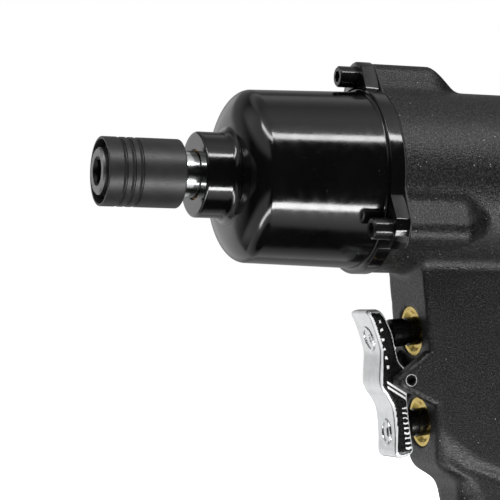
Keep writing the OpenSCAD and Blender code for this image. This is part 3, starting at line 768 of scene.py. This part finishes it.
def build_sleeve():
    low, high = node_mm("quick_change_sleeve")
    front, back, r = low[0], high[0], high[2]
    land, land_end = front + SLEEVE_LAND[0], front + SLEEVE_LAND[1]
    shape = [(front, SLEEVE_BORE_R + 0.12, 0.12), (front, r, 0.3)]
    for i in range(GROOVE_COUNT):
        x = front + GROOVE_X + GROOVE_PITCH * i
        floor = r - GROOVE_DEEP
        shape += [(x, r, 0.25), (x + 0.75, floor, 0.2), (x + 1.05, floor, 0.0),
                  (x + 1.12, r, 0.05)]
    shape += [(back, r, 0.55), (back, SLEEVE_RELIEF_R, 0.25),
              (front + SLEEVE_RELIEF_X, SLEEVE_RELIEF_R, 0.2),
              (land_end, SLEEVE_LAND_R, 0.1), (land, SLEEVE_LAND_R, 0.1),
              (land, SLEEVE_BORE_R, 0.1)]
    verts, faces = lathe_mesh(rounded(shape), 160)
    sleeve = mesh_from("chuck_sleeve", verts, faces, 40)
    stand_in(sleeve, "quick_change_sleeve")


# ---------------------------------------------------------------- motor housing

BODY_R = 26.0
BODY_ROUND = 12.0
REAR_WALL = 22.0      # from the liner's end to the body's
MOTOR_BORE_R = 20.9

# Ridges behind the bolt lugs. Each runs out in an S-curve that sinks it into the body.
BOSS_END = 96.4
BOSS_SLOPE = 12.6
BOSS_TAIL = 6.0
BOSS_DROP = 8.5
RIDGE_R = 4.1
WEB_HALF_PROFILE = ((3.2, 31.9), (7.8, 24.4), (7.8, 12.0))
TAPPED_R = 2.05
TAPPED_END = 95.0

# Widths over which neighbouring shapes melt together.
RIDGE_BLEND = 0.4
BOSS_BLEND = 1.4
HANDLE_BLEND = 2.5
REAR_BLEND = 1.5
FOOT_EDGE_BLEND = 1.6
FOOT_BLEND = 4.0

# Handle, in its own frame.
GRIP_HALF = 13.0
BLOCK_DEPTH = 43.0
HANDLE_TOP = 46.0
REAR_ROUND = 10.0
STEP_AT = -28.2      # height of the step from the block to the grip
STEP_SOFT = 2.6
STEP_BACK = 7.0
SCOOP_TOP = -12.5    # the hollow under the trigger starts here
SCOOP_SLOPE = 1.1
SCOOP_WIDE = 9.0
SCOOP_DEEP = 1.6
EDGE_TOP = -14.0     # the front edges' rounding grows downwards from here
EDGE_GROWS = 30.0
EDGE_LEAST = 1.8
EDGE_MORE = 6.0
GRIP_END = -84.0
FOOT_R = 16.0
FOOT_HALF = 4.0
INLET_AT = 26.0
VALVE_Z = 13.0

# Clevis cheeks: side outline, middle of the wall's thickness and half of it.
CHEEK = ((-10.6, 1.1), (-10.6, -1.1), (0, -7.6), (7, -7.6), (7, 7.6), (0, 7.6))
CHEEK_MIDDLE = 10.235
CHEEK_HALF = 2.385
CHEEK_BEVEL = 0.6

# Valve pockets, from in front of the handle inwards.
POCKET_FROM = -5.0
FLANGE_SEAT_R, FLANGE_SEAT_END = 7.05, 2.3
LIP_OUT, LIP_DEEP = 0.55, 1.2
BARREL_R, BARREL_END = 5.95, 17.0
NEST_R, NEST_FROM, NEST_END = 5.0, 10.0, 27.0

# Pin hole and upright air ways: place, radius, lower and upper end.
PIN_HOLE_R = 1.75
FEED_X, FEED_R, FEED_Z = 22.0, 5.3, (-70.0, VALVE_Z + 3)
EXHAUST_X, EXHAUST_R, EXHAUST_Z = 37.5, 2.6, (-79.0, 34.0)
PORT_X, PORT_R, PORT_Z = 14.0, 3.0, (VALVE_Z, 45.0)
INLET_FROM = -90.0
SEAT_R, SEAT_TOP = 8.25, -68.0
CHAMBER_R, CHAMBER_TOP = 12.5, -79.0
RING_SEAT_R, RING_SEAT_TOP = 13.55, -81.6


def body_field(p):
    radial = np.hypot(p[:, 1], p[:, 2])
    rear = LINER_HIGH[0] + REAR_WALL
    # The box reaches past the front, which the last line cuts off square.
    half = 60.0
    shell = rounded_box(p[:, 0], radial, rear - half, 0, half, BODY_R, BODY_ROUND)
    return np.maximum(HOUSING_LOW[0] - p[:, 0], shell)


def boss_field(p):
    """The three ridges behind the bolt lugs."""
    x = p[:, 0]
    drop = BOSS_DROP * smooth_step(np.clip((x - BOSS_END) / BOSS_SLOPE, 0, 1))
    web = [(-u, v) for u, v in WEB_HALF_PROFILE[::-1]] + list(WEB_HALF_PROFILE)
    best = None
    for turn in BOLT_TURNS:
        a = math.radians(turn)
        across = p[:, 1] * math.cos(a) + p[:, 2] * math.sin(a)
        out = -p[:, 1] * math.sin(a) + p[:, 2] * math.cos(a) + drop
        ridge = np.hypot(across, out - BOLT_CIRCLE) - RIDGE_R
        d = smooth_min(polygon_field(across, out, web), ridge, RIDGE_BLEND)
        best = d if best is None else np.minimum(best, d)
    best = np.maximum(best, HOUSING_LOW[0] - x)
    return np.maximum(best, x - BOSS_END - BOSS_SLOPE - BOSS_TAIL)


def handle_field(hx, y, hz):
    """Trigger block, grip and foot, blended into one another.

    Going down from the block, the front steps back and the near-front edges
    sink into a hollow that grows into the grip's narrow front.
    """
    front = STEP_BACK * 0.5 * (1 + np.tanh((STEP_AT - hz) / STEP_SOFT))
    brink = SCOOP_SLOPE * np.maximum(SCOOP_TOP - hz, 0.0)
    lean = np.clip((brink + front - hx) / SCOOP_WIDE, 0, 1)
    half = GRIP_HALF - SCOOP_DEEP * smooth_step(lean)
    edge = EDGE_LEAST + EDGE_MORE * smooth_step(np.clip((EDGE_TOP - hz) / EDGE_GROWS, 0, 1))
    depth = BLOCK_DEPTH - front
    bar = rounded_box(hx, y, front + depth / 2, 0, depth / 2, half, edge)
    rear = rounded_box(hx, y, BLOCK_DEPTH / 2 - REAR_ROUND, 0, BLOCK_DEPTH / 2 + REAR_ROUND,
                       GRIP_HALF, REAR_ROUND)
    bar = smooth_max(bar, rear, REAR_BLEND)
    bar = np.maximum(bar, np.maximum(hz - HANDLE_TOP, GRIP_END - hz))
    foot = rounded_box(hx, y, INLET_AT, 0, FOOT_R + 2, FOOT_R, FOOT_R)
    slab = np.abs(hz - GRIP_END - FOOT_HALF) - FOOT_HALF
    foot = smooth_max(foot, slab, FOOT_EDGE_BLEND)
    return smooth_min(bar, foot, FOOT_BLEND)


def bevelled(a, b, size):
    """Overlap of two fields, with a bevel along their edge."""
    return np.maximum(np.maximum(a, b), (a + b + size) * math.sqrt(0.5))


def cheek_field(hx, y, hz):
    """Two clevis cheeks with bevelled edges, which carry the trigger's pin."""
    across = np.abs(np.abs(y) - CHEEK_MIDDLE) - CHEEK_HALF
    return bevelled(polygon_field(hx, hz, CHEEK), across, CHEEK_BEVEL)


def pocket_field(hx, y, hz):
    """Valve pockets, pin hole, air ways and inlet seat."""
    def upright(x, start, end, r):
        return cylinder_field(np.hypot(hx - x, y), hz, start, end, r)

    holes = []
    for side in (-1, 1):
        radial = np.hypot(y, hz - side * VALVE_Z)
        lip = (radial - FLANGE_SEAT_R + hx - LIP_OUT) * math.sqrt(0.5)
        holes += [cylinder_field(radial, hx, POCKET_FROM, FLANGE_SEAT_END, FLANGE_SEAT_R),
                  cylinder_field(radial, hx, POCKET_FROM, BARREL_END, BARREL_R),
                  cylinder_field(radial, hx, NEST_FROM, NEST_END, NEST_R),
                  np.maximum(lip, np.abs(hx) - LIP_DEEP)]
    holes += [np.hypot(hx + PIVOT_OUT, hz) - PIN_HOLE_R,
              upright(FEED_X, *FEED_Z, FEED_R),
              upright(EXHAUST_X, *EXHAUST_Z, EXHAUST_R),
              upright(PORT_X, *PORT_Z, PORT_R),
              upright(INLET_AT, INLET_FROM, SEAT_TOP, SEAT_R),
              upright(INLET_AT, INLET_FROM, CHAMBER_TOP, CHAMBER_R),
              upright(INLET_AT, INLET_FROM, RING_SEAT_TOP, RING_SEAT_R)]
    return np.minimum.reduce(holes)


def housing_field(p):
    hx, y, hz = in_handle(p)
    body = smooth_min(body_field(p), boss_field(p), BOSS_BLEND)
    solid = smooth_min(body, handle_field(hx, y, hz), HANDLE_BLEND)
    solid = np.maximum(solid, HOUSING_LOW[0] - p[:, 0])
    solid = np.minimum(solid, cheek_field(hx, y, hz))
    radial = np.hypot(p[:, 1], p[:, 2])
    motor = cylinder_field(radial, p[:, 0], 0, REAR_PLATE_HIGH[0], MOTOR_BORE_R)
    for turn in BOLT_TURNS:
        a = math.radians(turn)
        bolt = np.hypot(p[:, 1] + BOLT_CIRCLE * math.sin(a), p[:, 2] - BOLT_CIRCLE * math.cos(a))
        motor = np.minimum(motor, cylinder_field(bolt, p[:, 0], 0, TAPPED_END, TAPPED_R))
    holes = np.minimum(motor, pocket_field(hx, y, hz))
    return np.maximum(solid, -holes)


def build_housing():
    step = 0.8
    verts, quads = skin(housing_field, HOUSING_LOW - 2 * step, HOUSING_HIGH + 2 * step, step)
    housing = mesh_from("housing_casting", verts, quads, 38)
    stand_in(housing, "motor_housing")


# ---------------------------------------------------------------- trigger

TRIGGER_HALF = 7.0
# Side outline, in the handle's frame: the front going down, then the rear going up.
TRIGGER_FRONT = ((-15.5, 20.0), (-14.5, 17.2), (-13.2, 12.2), (-12.6, 8.4), (-13.1, 4.4),
                 (-13.6, 0.4), (-13.3, -2.0), (-11.8, -4.6), (-10.6, -7.4), (-10.3, -10.8),
                 (-10.4, -15.6), (-10.8, -20.9))
TRIGGER_REAR = ((-9.3, -22.3), (-7.2, -22.1), (-5.5, -20.6), (-5.6, -17.0), (-5.8, -11.2),
                (-5.8, -5.0), (-5.0, -2.4), (-4.6, 0.0), (-5.0, 2.4), (-7.2, 5.0),
                (-8.0, 9.0), (-8.8, 14.0), (-11.3, 19.8), (-13.4, 20.9))
TRIGGER_MIDDLE_Z = -0.75
TRIGGER_TALL = 21.6  # half of the height over which its corners are rounded
TRIGGER_CORNER = 2.6
TRIGGER_ROUND = 1.5
TRIGGER_HOLE_R = 1.76

# Raised mark on each pad: an oval ring with an arrowhead in it.
MARK_AT = (12.0, -14.6)
MARK_HALF = (3.1, 3.6)
MARK_RING = 0.88
MARK_LINE = 0.42
MARK_ARROW = 1.3
MARK_HIGH = 0.3
MARK_FRONT = (-16.4, -8.5)  # x range of the pads' faces


def spline(points, per_span=6):
    """Closed Catmull-Rom curve through points."""
    pts = np.array(points, dtype=float)
    out = []
    for i in range(len(pts)):
        a, b, c, d = (pts[(i + k) % len(pts)] for k in (-1, 0, 1, 2))
        for s in range(per_span):
            t = s / per_span
            out.append(0.5 * (2 * b + (c - a) * t + (2 * a - 5 * b + 4 * c - d) * t * t
                              + (3 * b - a - 3 * c + d) * t ** 3))
    return out


def mark_field(y, z):
    """Flat shape of a pad's mark, centred on y = z = 0."""
    ring = np.hypot(y / MARK_HALF[0], z / MARK_HALF[1])
    rim = np.abs(ring - MARK_RING) * 3.2 - MARK_LINE
    arrow = polygon_field(y, z, [(-1.1, -MARK_ARROW), (1.3, 0), (-1.1, MARK_ARROW)])
    return np.minimum(rim, arrow)


def trigger_field(p):
    hx, y, hz = in_handle(p)
    flat = polygon_field(hx, hz, spline(TRIGGER_FRONT + TRIGGER_REAR, 4))
    plan = rounded_box(y, hz, 0, TRIGGER_MIDDLE_Z, TRIGGER_HALF, TRIGGER_TALL, TRIGGER_CORNER)
    solid = smooth_max(flat, plan, TRIGGER_ROUND)
    front = np.maximum(MARK_FRONT[0] - hx, hx - MARK_FRONT[1])
    for at in MARK_AT:
        relief = np.maximum(flat - MARK_HIGH, np.maximum(mark_field(y, hz - at), front))
        solid = smooth_min(solid, relief, 0.25)
    return np.maximum(solid, TRIGGER_HOLE_R - np.hypot(hx + PIVOT_OUT, hz))


def build_trigger():
    low, high = node_mm("rocker_trigger")
    step = 0.28
    verts, quads = skin(trigger_field, low - 1.0, high + 1.0, step)
    trigger = mesh_from("trigger_rocker", verts, quads, 40)
    mesh = trigger.data
    stand_in(trigger, "rocker_trigger", "chrome", "flank", "bevel")
    # Flat sides take the flank. The side edges' rounding takes the polished bevel, which is
    # painted near white as a highlight.
    for face in mesh.polygons:
        sideways = abs(face.normal.y)
        inwards = TRIGGER_HALF - abs(face.center.y) / MM
        if sideways > 0.86 and inwards < 0.4:
            face.material_index = 1
        elif sideways > 0.3 and inwards < 1.5:
            face.material_index = 2


# ---------------------------------------------------------------- build

build_case()
build_sleeve()
build_housing()
build_trigger()
for node, look in NODE_LOOK.items():
    dress(frame["nodes"][node], look)


# ---------------------------------------------------------------- stage, light, camera

FLOOR_HALF = 3.0
FLOOR_GAP = 0.0005


def build_floor():
    low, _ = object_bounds()
    level = low[2] - FLOOR_GAP
    bm = bmesh.new()
    corners = [(-1, -1), (1, -1), (1, 1), (-1, 1)]
    bm.faces.new([bm.verts.new((x * FLOOR_HALF, y * FLOOR_HALF, level)) for x, y in corners])
    mesh = bpy.data.meshes.new("floor")
    bm.to_mesh(mesh)
    bm.free()
    floor = add_object("floor", mesh)
    s = Shader("pale_floor")
    s.paint(s.blend(s.noise(3.0), grey(0.86), grey(0.88)))
    s.bsdf.inputs["Roughness"].default_value = 0.9
    s.bsdf.inputs["Emission Color"].default_value = (1, 1, 1, 1)
    s.bsdf.inputs["Emission Strength"].default_value = 1.0
    mesh.materials.append(s.material)
    floor.visible_glossy = False
    floor.visible_diffuse = False
    floor.visible_shadow = False


PANEL_TARGET = Vector((0.28, 0.0, -0.01))
PANEL_AWAY = 0.7
PANEL_WIDE = 0.62


def panel(name, elevation, depth, power):
    """Soft strip of light along X, aimed at the target from an elevation round it.
    0 is straight in front of the tool's near side, 90 overhead and -90 underneath."""
    e = math.radians(elevation)
    away = Vector((0, -math.cos(e), math.sin(e)))
    side = Vector((1, 0, 0))
    data = bpy.data.lights.new(name, "AREA")
    data.shape = "RECTANGLE"
    data.size = PANEL_WIDE
    data.size_y = depth
    data.energy = power
    light = bpy.data.objects.new(name, data)
    light.matrix_world = Matrix.Translation(PANEL_TARGET + away * PANEL_AWAY) @ Matrix(
        (side, away.cross(side), away)).transposed().to_4x4()
    light.visible_camera = False
    bpy.context.scene.collection.objects.link(light)


# Brightness of the surround by degrees above the horizon.
SURROUND = [(-90, 0.0), (-66, 0.0), (-62, 0.6), (-42, 1.8), (-39, 0.0), (41, 0.0), (46, 1.0),
            (52, 1.3), (64, 0.75), (90, 0.7)]
SURROUND_PEAK = 2.0
BEHIND = 0.45        # what the surround keeps of its light behind the tool
BACKDROP = 1.0       # pale patch straight behind, dimmer towards the rear
BACKDROP_DIM = 0.35
BACKDROP_SINK = 0.35  # how much further it reaches below the horizon
HAZE = 0.3           # faint light behind
FRONT_HAZE = 0.7     # faint light ahead of the bit
RIM = (0.69, 0.76)   # heights of two narrow bright bands, above and below, ahead of the tool
RIM_LIGHT = 7.0


def build_world():
    """White behind the tool. Its paint reflects a pale surround above and below, with
    dark at the level of the tool and a dark gap straight underneath."""
    world = bpy.data.worlds.new("studio")
    bpy.context.scene.world = world
    world.use_nodes = True
    w = NodeTree(world.node_tree)
    x, y, z = w.parts(w.node("ShaderNodeTexCoord").outputs["Generated"])
    height = w.math("ABSOLUTE", z)

    stops = [(0.5 + 0.5 * math.sin(math.radians(degrees)), grey(value / SURROUND_PEAK))
             for degrees, value in SURROUND]
    bands = w.product(w.ramp(w.remap(z, -1.0, 1.0), stops), w.remap(y, -0.2, 0.2, 1.0, BEHIND))
    rim = w.product(w.remap(height, RIM[0] - 0.02, RIM[0] + 0.01),
                    w.remap(height, RIM[1] + 0.02, RIM[1] - 0.01),
                    w.remap(x, -0.1, -0.18),
                    w.remap(y, 0.05, -0.05, 0.0, RIM_LIGHT))
    straight = w.math("MULTIPLY_ADD", w.remap(z, 0.0, -1.0), BACKDROP_SINK, y)
    level = BACKDROP / SURROUND_PEAK
    backdrop = w.product(w.remap(straight, 0.88, 0.92),
                         w.remap(x, 0.15, -0.1, BACKDROP_DIM * level, level))
    haze = w.remap(y, 0.55, 0.85, 0.0, HAZE / SURROUND_PEAK)
    front = w.product(w.remap(height, 0.28, 0.4),
                      w.remap(x, -0.45, -0.7, 0.0, FRONT_HAZE / SURROUND_PEAK))
    light = bands
    for more in (rim, backdrop, haze, front):
        light = w.math("MAXIMUM", light, more)

    seen = w.node("ShaderNodeBackground")
    seen.inputs["Strength"].default_value = SURROUND_PEAK
    w.link(light, seen.inputs["Color"])
    back = w.tree.nodes["Background"]
    back.inputs["Color"].default_value = (1, 1, 1, 1)
    mix = w.node("ShaderNodeMixShader")
    w.link(w.node("ShaderNodeLightPath").outputs["Is Camera Ray"], mix.inputs["Fac"])
    w.link(seen.outputs["Background"], mix.inputs[1])
    w.link(back.outputs["Background"], mix.inputs[2])
    w.link(mix.outputs["Shader"], w.tree.nodes["World Output"].inputs["Surface"])


CAMERA_AT = (-0.179116, -0.598332, -0.040159)
CAMERA_AZIMUTH = -20.434
CAMERA_ELEVATION = -1.769
CAMERA_ROLL = 0.739
CAMERA_LENS = 165.6


def build_camera():
    """Long lens, slightly below the output axis, a little to the front of square on."""
    azimuth = math.radians(CAMERA_AZIMUTH)
    elevation = math.radians(CAMERA_ELEVATION)
    roll = math.radians(CAMERA_ROLL)
    back = Vector((math.sin(azimuth) * math.cos(elevation),
                   -math.cos(azimuth) * math.cos(elevation), math.sin(elevation)))
    level = Vector((math.cos(azimuth), math.sin(azimuth), 0))
    upright = back.cross(level)
    right = math.cos(roll) * level + math.sin(roll) * upright
    up = -math.sin(roll) * level + math.cos(roll) * upright
    data = bpy.data.cameras.new("camera")
    data.lens = CAMERA_LENS
    data.sensor_width = 36.0
    data.clip_start = 0.01
    camera = bpy.data.objects.new("camera", data)
    camera.matrix_world = Matrix.Translation(CAMERA_AT) @ Matrix(
        (right, up, back)).transposed().to_4x4()
    bpy.context.scene.collection.objects.link(camera)
    bpy.context.scene.camera = camera


bpy.context.scene.view_settings.view_transform = "Standard"
build_floor()
build_world()
build_camera()
panel("upper_strip", 51, 0.09, 2.9)
panel("lower_strip", -39, 0.1, 4.6)
